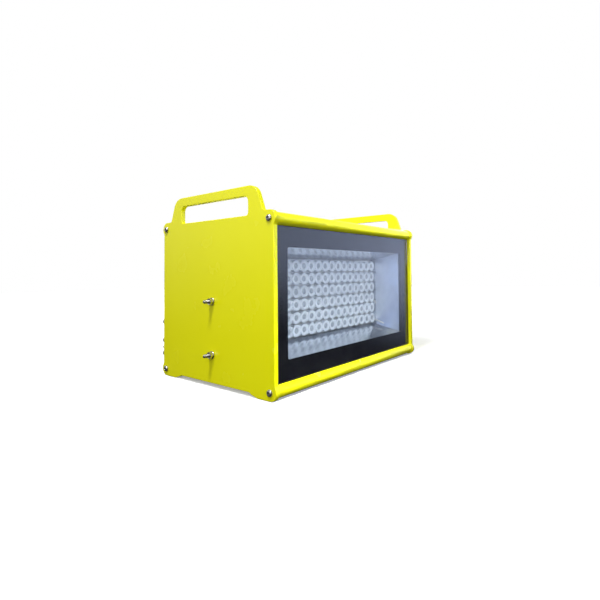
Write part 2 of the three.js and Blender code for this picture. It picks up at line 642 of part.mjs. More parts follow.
piece('driver_1', driver(-DRIVER.x), bareAluminium);
piece('driver_2', driver(DRIVER.x), bareAluminium);
piece('control_board', controlBoard(), greenBoard);
piece('terminal_block', terminalBlock(), terminalPlastic);

GLAND_Z.forEach((z, i) => {
  piece(`gland_body_${i + 1}`, glandBody(z), nickel);
  piece(`gland_cap_${i + 1}`, glandCap(z), nickel);
});
piece('earth_stud', earthStud(), nickel);
piece('vent_plug', ventPlug(), rubber);

// The lamp is drawn about the middle of its housing, then set on its feet over the origin.
lamp.position.set(0, -BODY_MIDDLE_Y, FEET_Z);
const group = new THREE.Group();
group.add(lamp);

export default group;
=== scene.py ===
"""Looks of the warning light head: its pieces in full detail, their materials, the light and the camera.

The sizes of the lamp's pieces are in millimetres, and MM turns them into the frame's metres. at() does that
for a place measured from the middle of the housing. The studio, its lights and the depth of surface relief
are in metres. X runs along the housing, -Y is the side that shines, +Z is up.
"""

import math

import bmesh
import bpy
from mathutils import Matrix, Vector


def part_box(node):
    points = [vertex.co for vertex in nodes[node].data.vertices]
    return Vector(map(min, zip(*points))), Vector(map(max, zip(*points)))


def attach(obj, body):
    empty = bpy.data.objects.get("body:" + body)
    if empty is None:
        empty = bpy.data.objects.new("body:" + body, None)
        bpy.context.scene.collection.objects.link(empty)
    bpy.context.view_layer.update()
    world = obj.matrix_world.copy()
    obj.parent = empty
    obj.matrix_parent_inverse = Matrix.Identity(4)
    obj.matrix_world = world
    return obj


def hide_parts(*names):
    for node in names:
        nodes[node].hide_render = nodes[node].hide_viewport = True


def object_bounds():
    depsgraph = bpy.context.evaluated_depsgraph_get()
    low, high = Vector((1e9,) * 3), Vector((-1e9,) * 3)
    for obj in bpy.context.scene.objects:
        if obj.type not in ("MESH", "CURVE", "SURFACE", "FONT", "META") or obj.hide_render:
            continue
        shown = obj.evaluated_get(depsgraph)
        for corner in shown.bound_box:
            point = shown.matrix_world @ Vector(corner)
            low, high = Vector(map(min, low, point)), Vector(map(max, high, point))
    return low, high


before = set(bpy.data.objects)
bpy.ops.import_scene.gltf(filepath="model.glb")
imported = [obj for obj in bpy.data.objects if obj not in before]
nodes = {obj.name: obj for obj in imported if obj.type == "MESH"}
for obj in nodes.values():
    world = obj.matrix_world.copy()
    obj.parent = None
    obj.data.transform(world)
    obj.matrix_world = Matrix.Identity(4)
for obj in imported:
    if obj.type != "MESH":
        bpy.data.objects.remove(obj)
cad_low, cad_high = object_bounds()

MM = 0.001
TURN = 2 * math.pi


# ---------------------------------------------------------------- places taken from the frame
def middle(node):
    low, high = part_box(node)
    return (low + high) / 2


PIVOT = middle("left_pivot_stud")
HOUSING_Y = PIVOT.y
HOUSING_Z = PIVOT.z


def at(x, y, z):
    """A place given in millimetres from the middle of the housing."""
    return Vector((x * MM, y * MM + HOUSING_Y, z * MM + HOUSING_Z))


def facing(origin, axis, up=(0, 0, 1)):
    """A placement whose own Z points along an axis and whose own Y points along up."""
    z = Vector(axis).normalized()
    x = Vector(up).cross(z).normalized()
    y = z.cross(x)
    turn = Matrix((x, y, z)).transposed().to_4x4()
    return Matrix.Translation(origin) @ turn @ Matrix.Diagonal((MM, MM, MM, 1))


# ---------------------------------------------------------------- camera
def make_camera():
    """The camera the lamp is seen from: level with it, to the left of its front, close up."""
    place = at(-652.6, -558.8, 48.5)
    yaw, pitch, roll = math.radians(51.763), math.radians(1.915), math.radians(-0.5)
    forward = Vector((math.sin(yaw) * math.cos(pitch), math.cos(yaw) * math.cos(pitch), math.sin(pitch)))
    level = Vector((math.cos(yaw), -math.sin(yaw), 0))
    above = level.cross(forward)
    right = level * math.cos(roll) + above * math.sin(roll)
    up = above * math.cos(roll) - level * math.sin(roll)
    lens = bpy.data.cameras.new("camera")
    lens.sensor_width = 36
    lens.lens = 25.33
    lens.shift_x = -0.0291
    lens.shift_y = -0.0727
    lens.clip_start = 0.01
    camera = bpy.data.objects.new("camera", lens)
    turn = Matrix((right, up, -forward)).transposed().to_4x4()
    camera.matrix_world = Matrix.Translation(place) @ turn
    bpy.context.scene.collection.objects.link(camera)
    bpy.context.scene.camera = camera


# ---------------------------------------------------------------- node trees
class Nodes:
    """A shader node tree being put together."""

    def __init__(self, tree):
        self.tree = tree

    def add(self, kind, settings=(), **inputs):
        node = self.tree.nodes.new(kind)
        for setting, value in dict(settings).items():
            setattr(node, setting, value)
        for socket, value in inputs.items():
            self.connect(value, node.inputs[socket.replace("_", " ")])
        return node

    def connect(self, value, socket):
        """Links another node's output to the socket, or sets the socket to a plain value."""
        if isinstance(value, bpy.types.NodeSocket):
            self.tree.links.new(value, socket)
        else:
            socket.default_value = value

    def ramp(self, value, low, high, start=0.0, end=1.0, smooth=False):
        """A value from low to high turned into one from start to end."""
        settings = {"interpolation_type": "SMOOTHSTEP" if smooth else "LINEAR"}
        inputs = {"Value": value, "From_Min": low, "From_Max": high, "To_Min": start, "To_Max": end}
        return self.add("ShaderNodeMapRange", settings, **inputs).outputs["Result"]

    def blend(self, share, first, second):
        """Mixes two colours."""
        mix = self.add("ShaderNodeMix", {"data_type": "RGBA"})
        self.connect(share, mix.inputs[0])
        self.connect(first, mix.inputs[6])
        self.connect(second, mix.inputs[7])
        return mix.outputs[2]

    def choose(self, share, first, second):
        """Mixes two shaders."""
        mix = self.add("ShaderNodeMixShader")
        for value, socket in zip((share, first, second), mix.inputs):
            self.connect(value, socket)
        return mix.outputs[0]

    def maths(self, operation, *values):
        node = self.add("ShaderNodeMath", {"operation": operation})
        for value, socket in zip(values, node.inputs):
            self.connect(value, socket)
        return node.outputs[0]


def colour(red, green, blue):
    return (red, green, blue, 1)


# ---------------------------------------------------------------- materials
class Surface(Nodes):
    """A material being put together around one Principled shader."""

    def __init__(self, name, **constants):
        self.material = bpy.data.materials.new(name)
        self.material.use_nodes = True
        super().__init__(self.material.node_tree)
        self.shader = self.tree.nodes["Principled BSDF"]
        self.output = self.tree.nodes["Material Output"]
        for socket, value in constants.items():
            self.shader.inputs[socket.replace("_", " ")].default_value = value
        self.place = self.add("ShaderNodeTexCoord").outputs["Object"]

    def feed(self, socket, value):
        self.connect(value, self.shader.inputs[socket])

    def drift(self, field, low, high, first, second):
        """Lets the base colour go from the first to the second as a field goes from low to high."""
        self.feed("Base Color", self.blend(self.ramp(field, low, high), colour(*first), colour(*second)))

    def roughen(self, field, low, high, smooth, rough):
        """Lets the roughness go from smooth to rough as a field goes from low to high."""
        self.feed("Roughness", self.ramp(field, low, high, smooth, rough))

    def stretched(self, scale):
        """Object coordinates stretched along the axes."""
        return self.add("ShaderNodeMapping", Vector=self.place, Scale=scale).outputs["Vector"]

    def noise(self, scale, detail=3, roughness=0.5, vector=None):
        place = self.place if vector is None else vector
        inputs = {"Vector": place, "Scale": scale, "Detail": detail, "Roughness": roughness}
        return self.add("ShaderNodeTexNoise", **inputs).outputs["Fac"]

    def relief(self, height, distance, strength=1.0, over=None):
        """Bump of the given height field, in metres, over an earlier one."""
        bump = self.add("ShaderNodeBump", Height=height, Distance=distance, Strength=strength)
        if over is not None:
            self.connect(over, bump.inputs["Normal"])
        self.feed("Normal", bump.outputs["Normal"])
        return bump.outputs["Normal"]


def paint():
    """Smooth yellow powder coat: a slight drift of colour, a trace of dust and very shallow waves."""
    s = Surface("yellow_paint", Specular_IOR_Level=0.4, Coat_Weight=0.2, Coat_Roughness=0.08)
    deep = colour(0.82, 0.8, 0.001)
    bright = colour(0.84, 0.825, 0.002)
    dusty = colour(0.78, 0.76, 0.05)
    dust = s.ramp(s.noise(18, 3), 0.3, 0.8, 0.0, 0.02)
    base = s.blend(s.ramp(s.noise(9, 4), 0.3, 0.7), deep, bright)
    s.feed("Base Color", s.blend(dust, base, dusty))
    s.roughen(s.noise(20, 3), 0.3, 0.7, 0.22, 0.28)
    waves = s.relief(s.noise(55, 1), 0.00005, 0.1)
    s.relief(s.noise(420, 2), 0.00003, 0.25, waves)
    return s.material


def metal(name, base, tarnish, roughness, grain=(1, 1, 1), depth=0.00003, wear=0.35):
    """Bare metal with directional grain, stains and small scratches."""
    s = Surface(name, Metallic=1.0)
    stains = s.ramp(s.noise(70, 5, 0.6), 0.45, 0.7, 0.0, wear)
    s.feed("Base Color", s.blend(stains, colour(*base), colour(*tarnish)))
    lines = s.noise(900, 3, 0.6, s.stretched(grain))
    worn = s.ramp(lines, 0.3, 0.7, roughness * 0.75, roughness * 1.3)
    s.feed("Roughness", s.maths("ADD", worn, s.maths("MULTIPLY", stains, 0.15)))
    s.relief(lines, depth, 0.6)
    return s.material


def plastic(name, base, other, roughness, patch=120, **constants):
    """Moulded plastic with slight colour drift and a fine surface grain."""
    s = Surface(name, **constants)
    s.drift(s.noise(patch, 4), 0.35, 0.65, base, other)
    s.roughen(s.noise(300, 3), 0.3, 0.7, roughness * 0.85, roughness * 1.2)
    s.relief(s.noise(1500, 2), 0.00003, 0.4)
    return s.material


def board(name, mask, trace, pitch):
    """Circuit board: solder mask with copper tracks and vias under it."""
    s = Surface(name, Specular_IOR_Level=0.5)
    via = colour(0.55, 0.5, 0.38)
    darker_mask = colour(*(part * 0.8 for part in mask))
    squares = {"distance": "MANHATTAN", "feature": "F2"}
    cells = s.add("ShaderNodeTexVoronoi", squares, Vector=s.place, Scale=pitch)
    tracks = s.ramp(cells.outputs["Distance"], 0.62, 0.66)
    dots = s.add("ShaderNodeTexVoronoi", Vector=s.place, Scale=pitch * 2).outputs["Distance"]
    drift = s.ramp(s.noise(40, 4), 0.3, 0.7, 0.0, 0.3)
    base = s.blend(tracks, colour(*mask), colour(*trace))
    base = s.blend(s.ramp(dots, 0.09, 0.06), base, via)
    s.feed("Base Color", s.blend(drift, base, darker_mask))
    s.roughen(tracks, 0, 1, 0.35, 0.28)
    s.relief(tracks, 0.00004, 0.5)
    return s.material


def clear_glass():
    """Clear toughened glass with faint smears, which lets the lights through to what lies behind it."""
    s = Surface("clear_glass", Transmission_Weight=1.0, Roughness=0.0, IOR=1.5)
    smears = s.noise(14, 5, 0.7, s.stretched((1, 1, 2.5)))
    s.drift(smears, 0.4, 0.7, (0.96, 0.985, 0.97), (0.93, 0.96, 0.955))
    s.roughen(smears, 0.55, 0.8, 0.0, 0.03)
    through = s.add("ShaderNodeBsdfTransparent", Color=colour(0.9, 0.92, 0.92)).outputs[0]
    shadow = s.add("ShaderNodeLightPath").outputs["Is Shadow Ray"]
    s.connect(s.choose(shadow, s.shader.outputs[0], through), s.output.inputs["Surface"])
    return s.material


def mirror():
    """Polished reflector sheet: rolled lines, faint haze and shallow waves."""
    s = Surface("mirror_sheet", Metallic=1.0)
    haze = s.noise(30, 5, 0.6)
    s.drift(haze, 0.35, 0.7, (0.8, 0.83, 0.89), (0.69, 0.72, 0.78))
    s.roughen(haze, 0.3, 0.7, 0.13, 0.22)
    waves = s.relief(s.noise(22, 2), 0.0006, 0.35)
    s.relief(s.noise(1400, 2, 0.5, s.stretched((0.04, 1, 1))), 0.00001, 0.3, waves)
    return s.material


def lens_rim():
    """Frosted rim of a collimator lens."""
    s = Surface("lens_rim", Specular_IOR_Level=0.5, Coat_Weight=0.5, Coat_Roughness=0.08)
    s.drift(s.noise(160, 3), 0.3, 0.7, (0.7, 0.75, 0.86), (0.79, 0.83, 0.91))
    s.roughen(s.noise(500, 3), 0.3, 0.7, 0.25, 0.4)
    s.relief(s.noise(900, 2), 0.00003, 0.4)
    return s.material


def lens_core():
    """Middle of a collimator lens, drawn as grey-blue plastic under a clear gloss."""
    s = Surface("lens_core", Specular_IOR_Level=0.7, Coat_Weight=1.0, Coat_Roughness=0.03)
    s.drift(s.noise(220, 3), 0.3, 0.7, (0.4, 0.44, 0.53), (0.5, 0.54, 0.62))
    s.roughen(s.noise(400, 3), 0.3, 0.7, 0.12, 0.24)
    s.relief(s.noise(300, 2), 0.00008, 0.4)
    return s.material


PAINT = paint()
STEEL = metal("stainless_steel", (0.55, 0.54, 0.52), (0.38, 0.36, 0.33), 0.26, (1, 0.2, 0.2))
THREAD_STEEL = metal("thread_steel", (0.5, 0.49, 0.47), (0.3, 0.28, 0.25), 0.3, (1, 1, 1), 0.00002)
SOCKET_STEEL = metal("socket_steel", (0.3, 0.3, 0.29), (0.16, 0.15, 0.14), 0.4)
NICKEL = metal("nickel_brass", (0.56, 0.54, 0.49), (0.42, 0.38, 0.3), 0.24, (1, 1, 1), 0.00002)
RAW_ALUMINIUM = metal("raw_aluminium", (0.66, 0.67, 0.68), (0.5, 0.5, 0.51), 0.36, (0.06, 1, 1))
MIRROR = mirror()
GLASS = clear_glass()
BORDER = plastic("border_ink", (0.005, 0.005, 0.007), (0.008, 0.008, 0.01), 0.5, 60, Specular_IOR_Level=0.0)
LENS_RIM = lens_rim()
LENS_CORE = lens_core()
LENS_BASE = plastic("lens_base", (0.68, 0.7, 0.75), (0.76, 0.78, 0.82), 0.3, 90)
WHITE_BOARD = board("white_board", (0.78, 0.79, 0.78), (0.7, 0.71, 0.7), 160)
GREEN_BOARD = board("green_board", (0.02, 0.13, 0.05), (0.03, 0.19, 0.08), 240)
TERMINAL = plastic("terminal_plastic", (0.05, 0.19, 0.08), (0.07, 0.23, 0.1), 0.45)
RUBBER = plastic("seal_rubber", (0.012, 0.012, 0.014), (0.022, 0.022, 0.025), 0.65, 80)
WHITE_NYLON = plastic("white_nylon", (0.72, 0.71, 0.66), (0.8, 0.79, 0.75), 0.4)


# ---------------------------------------------------------------- mesh helpers
WELD = 1e-6
FINE_WELD = 1e-7
ON_FACE = 1e-5
FLAT_ANGLE = math.radians(2)


class Mesh:
    """Points and faces being collected for one piece, in millimetres of its own placement."""

    def __init__(self):
        self.points = []
        self.faces = []
        self.slots = []

    def ring(self, points):
        start = len(self.points)
        self.points.extend(points)
        return list(range(start, len(self.points)))

    def face(self, corners, slot=0):
        self.faces.append(corners)
        self.slots.append(slot)

    def bridge(self, lower, upper, slot=0):
        """Quads between two rings that each run the same way round."""
        count = len(lower)
        for i in range(count):
            after = (i + 1) % count
            self.face((lower[i], lower[after], upper[after], upper[i]), slot)

    def turned(self, profile, place, segments=32, closed=False, slot_of=None):
        """A profile of (radius, height) pairs turned about the placement's Z.

        A radius may be a function of the angle.
        """
        rings = []
        for radius, height in profile:
            ring = []
            for i in range(segments):
                angle = TURN * i / segments
                r = radius(angle) if callable(radius) else radius
                ring.append(place @ Vector((r * math.cos(angle), r * math.sin(angle), height)))
            rings.append(self.ring(ring))
        pairs = list(zip(rings, rings[1:])) + ([(rings[-1], rings[0])] if closed else [])
        for i, (lower, upper) in enumerate(pairs):
            self.bridge(lower, upper, slot_of(i) if slot_of else 0)
        if not closed:
            self.face(tuple(reversed(rings[0])))
            self.face(tuple(rings[-1]), slot_of(len(pairs) - 1) if slot_of else 0)
        return self

    def box(self, low, high, slot=0):
        """A block between two corners given in frame metres."""
        x0, y0, z0 = low
        x1, y1, z1 = high
        corners = [(x0, y0, z0), (x1, y0, z0), (x1, y1, z0), (x0, y1, z0),
                   (x0, y0, z1), (x1, y0, z1), (x1, y1, z1), (x0, y1, z1)]
        ring = self.ring([Vector(corner) for corner in corners])
        for face in ((3, 2, 1, 0), (4, 5, 6, 7), (0, 1, 5, 4), (1, 2, 6, 5), (2, 3, 7, 6), (3, 0, 4, 7)):
            self.face(tuple(ring[i] for i in face), slot)
        return self

    def build(self, name, materials, smooth=35):
        data = bpy.data.meshes.new(name)
        data.from_pydata([tuple(p) for p in self.points], [], self.faces)
        for material in materials:
            data.materials.append(material)
        data.polygons.foreach_set("material_index", self.slots)
        merge_points(data)
        thing = bpy.data.objects.new(name, data)
        bpy.context.scene.collection.objects.link(thing)
        shade(data, smooth)
        return thing


def merge_points(data):
    """Welds coincident points and drops the flat faces that this leaves."""
    work = bmesh.new()
    work.from_mesh(data)
    bmesh.ops.remove_doubles(work, verts=work.verts, dist=FINE_WELD)
    bmesh.ops.recalc_face_normals(work, faces=work.faces)
    work.to_mesh(data)
    work.free()


def shade(data, angle):
    """Smooth shading, broken at edges sharper than the angle."""
    work = bmesh.new()
    work.from_mesh(data)
    limit = math.radians(angle)
    for face in work.faces:
        face.smooth = True
    for edge in work.edges:
        edge.smooth = len(edge.link_faces) == 2 and edge.calc_face_angle(0) < limit
    work.to_mesh(data)
    work.free()


def weigh_normals(thing):
    """Keeps large flat faces flat next to rounded edges."""
    weigh = thing.modifiers.new("flat_faces", "WEIGHTED_NORMAL")
    weigh.mode = "FACE_AREA"
    weigh.weight = 100
    weigh.keep_sharp = True


def finish_piece(thing, stands_for=(), body="housing"):
    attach(thing, body)
    if stands_for:
        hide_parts(*stands_for)
    return thing


def soften(node, material, width=0.5, steps=2, angle=30):
    """A copy of a CAD piece with its flat faces merged and its edges rounded."""
    work = bmesh.new()
    work.from_mesh(nodes[node].data)
    bmesh.ops.remove_doubles(work, verts=work.verts, dist=WELD)
    bmesh.ops.dissolve_limit(work, angle_limit=FLAT_ANGLE, verts=work.verts, edges=work.edges)
    sharp = [e for e in work.edges if len(e.link_faces) == 2 and e.calc_face_angle(0) > math.radians(angle)]
    bmesh.ops.bevel(work, geom=sharp, offset=width * MM, offset_type="OFFSET", segments=steps, profile=0.5,
                    affect="EDGES", clamp_overlap=True)
    data = bpy.data.meshes.new(node + "_shape")
    work.to_mesh(data)
    work.free()
    data.materials.append(material)
    shade(data, 40)
    thing = bpy.data.objects.new(node + "_shape", data)
    bpy.context.scene.collection.objects.link(thing)
    weigh_normals(thing)
    return finish_piece(thing, [node])


def outline_loops(node, axis, value):
    """The closed outlines of a CAD piece's flat face at one value of an axis, in frame metres."""
    work = bmesh.new()
    work.from_mesh(nodes[node].data)
    bmesh.ops.remove_doubles(work, verts=work.verts, dist=WELD)
    on_face = [all(abs(v.co[axis] - value) < ON_FACE for v in face.verts) for face in work.faces]
    after = {}
    for edge in work.edges:
        flags = [on_face[face.index] for face in edge.link_faces]
        if sum(flags) == 1:
            a, b = edge.verts
            after.setdefault(a.index, []).append(b.index)
            after.setdefault(b.index, []).append(a.index)
    places = [v.co.copy() for v in work.verts]
    work.free()
    loops = []
    while after:
        start = min(after)
        loop = [start]
        previous, here = None, start
        while True:
            onward = [i for i in after[here] if i != previous]
            previous, here = here, onward[0]
            if here == start:
                break
            loop.append(here)
        for i in loop:
            del after[i]
        loops.append([places[i] for i in loop])
    return loops


def plate(node, axis, bevel, material):
    """A flat CAD plate redrawn from its outlines with a rounded arris along every edge."""
    low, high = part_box(node)
    others = [i for i in range(3) if i != axis]
    curve = bpy.data.curves.new(node + "_outline", "CURVE")
    curve.dimensions = "2D"
    curve.fill_mode = "BOTH"
    for loop in outline_loops(node, axis, high[axis]):
        spline = curve.splines.new("POLY")
        spline.points.add(len(loop) - 1)
        for point, place in zip(spline.points, loop):
            point.co = (place[others[0]], place[others[1]], 0, 1)
        spline.use_cyclic_u = True
    half = (high[axis] - low[axis]) / 2
    curve.extrude = half - bevel * MM
    curve.bevel_depth = bevel * MM
    curve.offset = -bevel * MM
    curve.bevel_resolution = 2
    drawing = bpy.data.objects.new(node + "_outline", curve)
    bpy.context.scene.collection.objects.link(drawing)
    bpy.context.view_layer.update()
    data = bpy.data.meshes.new_from_object(drawing.evaluated_get(bpy.context.evaluated_depsgraph_get()))
    bpy.data.objects.remove(drawing)
    for vertex in data.vertices:
        u, v, depth = vertex.co
        place = [0.0, 0.0, 0.0]
        place[others[0]] = u
        place[others[1]] = v
        place[axis] = (low[axis] + high[axis]) / 2 + depth
        vertex.co = place
    merge_points(data)
    data.materials.clear()
    data.materials.append(material)
    shade(data, 32)
    thing = bpy.data.objects.new(node + "_shape", data)
    bpy.context.scene.collection.objects.link(thing)
    weigh_normals(thing)
    return finish_piece(thing, [node])


# ---------------------------------------------------------------- profiles
def hexagon(flats):
    """Radius of a hexagon at an angle, with a corner at angle zero."""
    def radius(angle):
        within = angle % (TURN / 6) - TURN / 12
        return flats / 2 / math.cos(within)
    return radius


def capped(shape, limit):
    """A radius no larger than a round limit, as a chamfer leaves it."""
    return lambda angle: min(shape(angle), limit)


def chamfered_hex(flats, bottom, top, chamfer=0.7):
    """Profile of the outside of a nut whose corners are turned off at both ends."""
    shape = hexagon(flats)
    tip = capped(shape, flats / 2)
    shoulder = capped(shape, flats / 2 * 1.09)
    rise = chamfer * 0.45
    return [(tip, bottom), (shoulder, bottom + rise), (shape, bottom + chamfer),
            (shape, top - chamfer), (shoulder, top - rise), (tip, top)]


def thread(radius, pitch, start, end, depth=0.55, steps=8):
    """Rings of a helical thread: the radius follows the angle and the height together."""
    def at_height(height):
        fade = min(1.0, (height - start) / pitch, (end - height) / pitch)
        def r(angle):
            turn = (height / pitch - angle / TURN) % 1
            return radius - depth * fade * abs(2 * turn - 1)
        return r
    count = int((end - start) / pitch * steps)
    heights = [start + (end - start) * i / count for i in range(count + 1)]
    return [(at_height(height), height) for height in heights]


# ---------------------------------------------------------------- fasteners
SIDES = {"left": -1, "right": 1}
LEVELS = {"top": 1, "bottom": -1}
DEPTHS = {"front": -1, "rear": 1}
OUTER_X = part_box("right_end_plate")[1].x / MM


def button_head(name, place, stands_for):
    """M6 button-head screw with a hexagon socket; heights are from the plate's outer face."""
    socket = hexagon(4)
    wide = hexagon(4.3)
    shank = [(3, -23.9), (3, 0.3)]
    dome = [(5.0, 0.3), (5.2, 0.45), (5.25, 0.75), (5.2, 1.3), (4.95, 2.0), (4.45, 2.7), (3.75, 3.25),
            (3.0, 3.55), (2.65, 3.6)]
    recess = [(wide, 3.55), (socket, 3.3), (socket, 1.6), (0.3, 1.2)]
    in_recess = len(shank + dome)
    mesh = Mesh().turned(shank + dome + recess, place, 48, slot_of=lambda i: 1 if i >= in_recess else 0)
    finish_piece(mesh.build(name, [STEEL, SOCKET_STEEL]), stands_for)


def mounting_stud(name, place, stands_for):
    """M6 bolt put through from inside, with a rounded tip and a rolled thread."""
    head = chamfered_hex(10, -12.3, -8.35)
    tip = [(2.45, 15.6), (2.4, 16.0), (2.2, 16.45), (1.8, 16.8), (1.2, 16.95), (0.5, 17.0)]
    mesh = Mesh().turned(head + [(2.95, -8.3)] + thread(2.95, 1, -7.5, 15.4) + tip, place, 36)
    finish_piece(mesh.build(name, [THREAD_STEEL], 50), stands_for)


def nut_and_washer(name, place, stands_for):
    nut = chamfered_hex(10, 1.95, 6.9)
    bore = [(3.35, 6.6), (3.15, 6.2), (3.15, 2.4), (3.35, 1.95)]
    mesh = Mesh().turned(nut + bore, place, 48, closed=True)
    finish_piece(mesh.build(name, [STEEL], 30), stands_for)
    washer = [(3.2, 0.3), (6.0, 0.3), (6.2, 0.5), (6.2, 1.55), (5.95, 1.9), (3.4, 1.9), (3.2, 1.7)]
    flat = Mesh().turned(washer, place, 48, closed=True)
    finish_piece(flat.build(name + "_washer", [STEEL], 30))


def end_fasteners():
    for end, side in SIDES.items():
        outward = (side, 0, 0)
        for job in ("pivot", "lock"):
            centre = middle(f"{end}_{job}_nut")
            place = facing(Vector((side * OUTER_X * MM, centre.y, centre.z)), outward)
            mounting_stud(f"{end}_{job}_bolt", place, [f"{end}_{job}_stud"])
            nut_and_washer(f"{end}_{job}_hexnut", place, [f"{end}_{job}_nut"])
        for level in LEVELS:
            for depth in DEPTHS:
                node = f"{end}_{level}_{depth}_screw"
                centre = middle(node)
                place = facing(Vector((side * OUTER_X * MM, centre.y, centre.z)), outward, (0, 0.4, 1))
                button_head(node + "_head", place, [node])


def small_screws(name, places, axis, radius=3.5, height=2.0):
    """A row of small socket screws as one piece, each seated at its place."""
    socket = hexagon(2.5)
    up = (0, 1, 0) if abs(axis[2]) > 0.5 else (0, 0, 1)
    dome = [(radius, 0), (radius * 0.98, height * 0.45), (radius * 0.8, height * 0.85),
            (radius * 0.55, height)]
    recess = [(socket, height), (socket, height * 0.35), (0.2, height * 0.3)]
    mesh = Mesh()
    for place in places:
        mesh.turned(dome + recess, facing(place, axis, up), 24, slot_of=lambda i: 1 if i >= len(dome) else 0)
    return finish_piece(mesh.build(name, [STEEL, SOCKET_STEEL]))


SCREWS_PER_EDGE = 5
PANEL_SCREW_REACH, PANEL_SCREW_INSET = 170, 9.5
COVER_SCREW_REACH, COVER_SCREW_INSET = 165, 5.7


def spread(reach):
    """X of each screw along an edge, evenly from -reach to reach, in metres."""
    return [reach * MM * (2 * i / (SCREWS_PER_EDGE - 1) - 1) for i in range(SCREWS_PER_EDGE)]


def panel_screws():
    inset = PANEL_SCREW_INSET * MM
    for level, up in LEVELS.items():
        low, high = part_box(level + "_panel")
        surface = high.z if up > 0 else low.z
        rows = (low.y + inset, high.y - inset)
        places = [Vector((x, y, surface)) for x in spread(PANEL_SCREW_REACH) for y in rows]
        small_screws(level + "_panel_screws", places, (0, 0, up))


def cover_screws():
    inset = COVER_SCREW_INSET * MM
    low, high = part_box("rear_cover")
    rows = (low.z + inset, high.z - inset)
    places = [Vector((x, high.y, z)) for x in spread(COVER_SCREW_REACH) for z in rows]
    small_screws("rear_cover_screws", places, (0, 1, 0))


# ---------------------------------------------------------------- glands, earth stud and vent
def on_cover(node):
    """A CAD piece's placement on the rear cover's outer face, and its reach inward and outward from there."""
    low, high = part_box(node)
    centre = middle(node)
    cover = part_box("rear_cover")[1].y
    place = facing(Vector((centre.x, cover, centre.z)), (0, 1, 0))
    return place, (low.y - cover) / MM, (high.y - cover) / MM


def gland_body(body, flats):
    """Threaded body with its hexagon outside the cover and its locknut inside."""
    place, inner, collar_end = on_cover(body)
    nut_end = -3.35
    locknut = [(5.9, inner), (5.9, nut_end - 5.65), (7.1, nut_end - 5.6), (7.35, nut_end - 5.2),
               (7.35, nut_end - 0.3), (7.1, nut_end), (6.0, nut_end + 0.05)]
    neck = [(6.0, 0.3)]
    hexagon_part = chamfered_hex(flats, 0.4, 7.2, 0.9)
    collar = [(5.6, 7.3)] + thread(5.35, 1.25, 7.5, collar_end - 0.3, 0.4, 6) + [(4.9, collar_end)]
    bore = [(3.5, collar_end), (3.5, inner)]
    mesh = Mesh().turned(locknut + neck + hexagon_part + collar + bore, place, 48, closed=True)
    finish_piece(mesh.build(body + "_shape", [NICKEL], 35), [body])


def gland_cap(cap, flats, ride_on):
    """Domed cap nut with the rubber insert in its mouth."""
    place, start, tip = on_cover(cap)
    dome = [(6.85, tip - 9.4), (6.9, tip - 5.5), (6.85, tip - 4.1), (6.6, tip - 2.7), (6.15, tip - 1.5),
            (5.6, tip - 0.6), (5.0, tip - 0.15), (4.4, tip), (3.75, tip - 0.05), (3.5, tip - 0.4),
            (3.45, tip - 1.0)]
    inside = [(3.45, start + 12), (5.75, start + 11), (5.75, start + 0.6), (6.1, start)]
    mesh = Mesh().turned(chamfered_hex(flats, start, tip - 9.6, 0.8) + dome + inside, place, 48, closed=True)
    finish_piece(mesh.build(cap + "_shape", [NICKEL], 35), [cap], ride_on)
    seal = [(3.3, tip - 8), (3.35, tip - 1.9), (3.1, tip - 1.4), (2.5, tip - 1.3), (1.9, tip - 1.9),
            (1.2, tip - 2.6), (0.3, tip - 2.8)]
    insert = Mesh().turned(seal, place, 32)
    finish_piece(insert.build(cap + "_seal", [RUBBER]), body=ride_on)


def gland(number):
    """Cable gland, whose cap nut rides on its own body. The hexagons have a corner to each side."""
    body = f"gland_body_{number}"
    low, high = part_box(body)
    flats = (high.x - low.x) / MM * math.sqrt(3) / 2
    gland_body(body, flats)
    gland_cap(f"gland_cap_{number}", flats, f"cap_{number}")


def earth_stud():
    """Earth stud with its thread and nut."""
    place, inner, tip = on_cover("earth_stud")
    root = [(2.2, inner), (2.4, inner + 0.3), (2.4, 0.35)]
    nut = chamfered_hex(8, 0.4, 4.3, 0.5)
    outer = thread(2.45, 0.8, 4.5, tip - 0.6, 0.4) + [(1.9, tip)]
    mesh = Mesh().turned(root + nut + outer, place, 36)
    finish_piece(mesh.build("earth_stud_shape", [NICKEL], 45), ["earth_stud"])


def vent_plug():
    """Pressure vent with finger notches round its rim."""
    place, inner, tip = on_cover("vent_plug")
    notches, rim, notch_depth = 12, 8.95, 0.45

    def notched(angle):
        return rim - notch_depth * max(0.0, math.cos(notches * angle)) ** 2

    stem = [(4.3, inner), (4.45, inner + 0.5), (4.45, 0.3)]
    cap = [(8.6, 0.35), (notched, 0.7), (notched, tip - 2.2), (8.4, tip - 1.2), (7.6, tip - 0.4), (6.8, tip)]
    recess = [(5.2, tip), (4.9, tip - 0.6), (0.5, tip - 0.7)]
    mesh = Mesh().turned(stem + cap + recess, place, 72)
    finish_piece(mesh.build("vent_plug_shape", [RUBBER]), ["vent_plug"])


# ---------------------------------------------------------------- glass
def rounded_rectangle(half_x, half_z, radius, y, steps=6):
    """Points round a rectangle with rounded corners in the XZ plane, in millimetres."""
    points = []
    for quarter, (sx, sz) in enumerate(((1, 1), (-1, 1), (-1, -1), (1, -1))):
        for i in range(steps + 1):
            angle = math.radians(90 * quarter + 90 * i / steps)
            x = sx * (half_x - radius) + radius * math.cos(angle)
            z = sz * (half_z - radius) + radius * math.sin(angle)
            points.append(at(x, y, z))
    return points


WINDOW_HALF_X, WINDOW_HALF_Z = 182, 84
OUTER_CORNER, WINDOW_CORNER = 0.5, 3
INK_FRONT, INK_BACK = 0.04, 0.16


